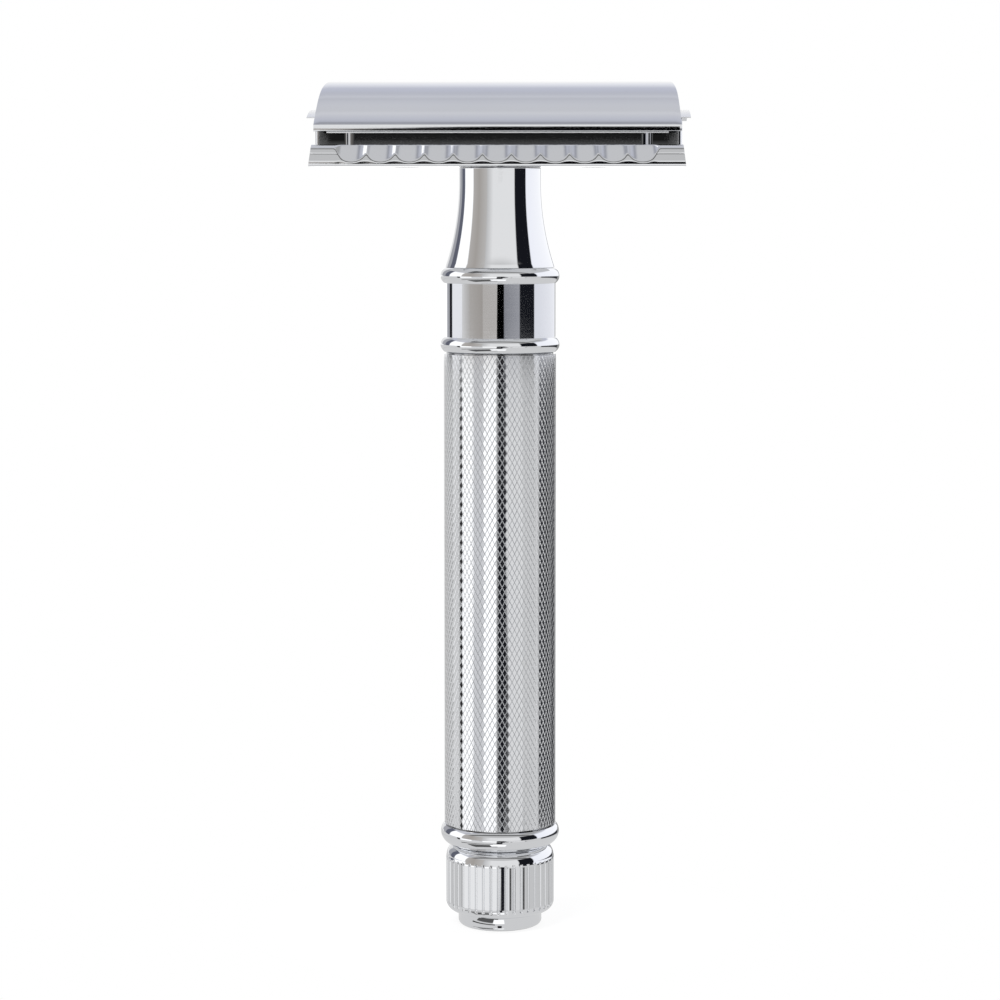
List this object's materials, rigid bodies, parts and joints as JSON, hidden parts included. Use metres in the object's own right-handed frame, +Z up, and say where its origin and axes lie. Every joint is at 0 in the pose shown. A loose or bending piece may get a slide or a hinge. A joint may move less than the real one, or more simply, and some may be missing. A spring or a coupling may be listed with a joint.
{
  "type": "double-edge safety razor",
  "caption": "Three-piece double-edge safety razor with a domed cap, scalloped closed-comb bars, flared neck, knurled round grip and fluted end knob.",
  "frame": {"origin": "middle of the foot's flat face, where the standing razor meets the surface", "axes": "+Z up the handle's axis to the crown of the cap, +X along the blade's cutting edges, -Y towards the pictured side"},
  "size_m": [0.0424, 0.0252, 0.0961],
  "materials": {
    "polished_chrome": "mirror-polished chrome plate",
    "knurled_chrome": "chrome plate over a fine diamond knurl",
    "blade_steel": "ground stainless strip with honed edges",
    "bush_brass": "turned brass",
    "rod_steel": "drawn steel"
  },
  "bodies": {
    "handle": {"neck": "polished_chrome", "thread_bush": "bush_brass", "collar": "polished_chrome", "grip_tube": "knurled_chrome", "tie_rod": "rod_steel", "lower_ring": "polished_chrome", "knob": "polished_chrome"},
    "plate": {"base_plate": "polished_chrome"},
    "top": {"cap": "polished_chrome", "cap_stud": "polished_chrome", "left_pin": "polished_chrome", "right_pin": "polished_chrome"},
    "loose_blade": {"blade": "blade_steel"}
  },
  "joints": [
    {"name": "head_turn", "type": "hinge", "parent": "handle", "child": "plate", "pos_m": [0, 0, 0.0863], "axis": [0, 0, 1], "range_deg": [0, 2880]},
    {"name": "cap_lift", "type": "slide", "parent": "plate", "child": "top", "axis": [0, 0, 1], "range_m": [0, 0.0065]},
    {"name": "blade_lift", "type": "slide", "parent": "plate", "child": "loose_blade", "axis": [0, 0, 1], "range_m": [0, 0.0033]}
  ],
  "couplings": [
    {"joint": "cap_lift", "follows": "head_turn", "m_per_rad": 0.00012732},
    {"joint": "blade_lift", "follows": "head_turn", "m_per_rad": 0.000063662}
  ]
}
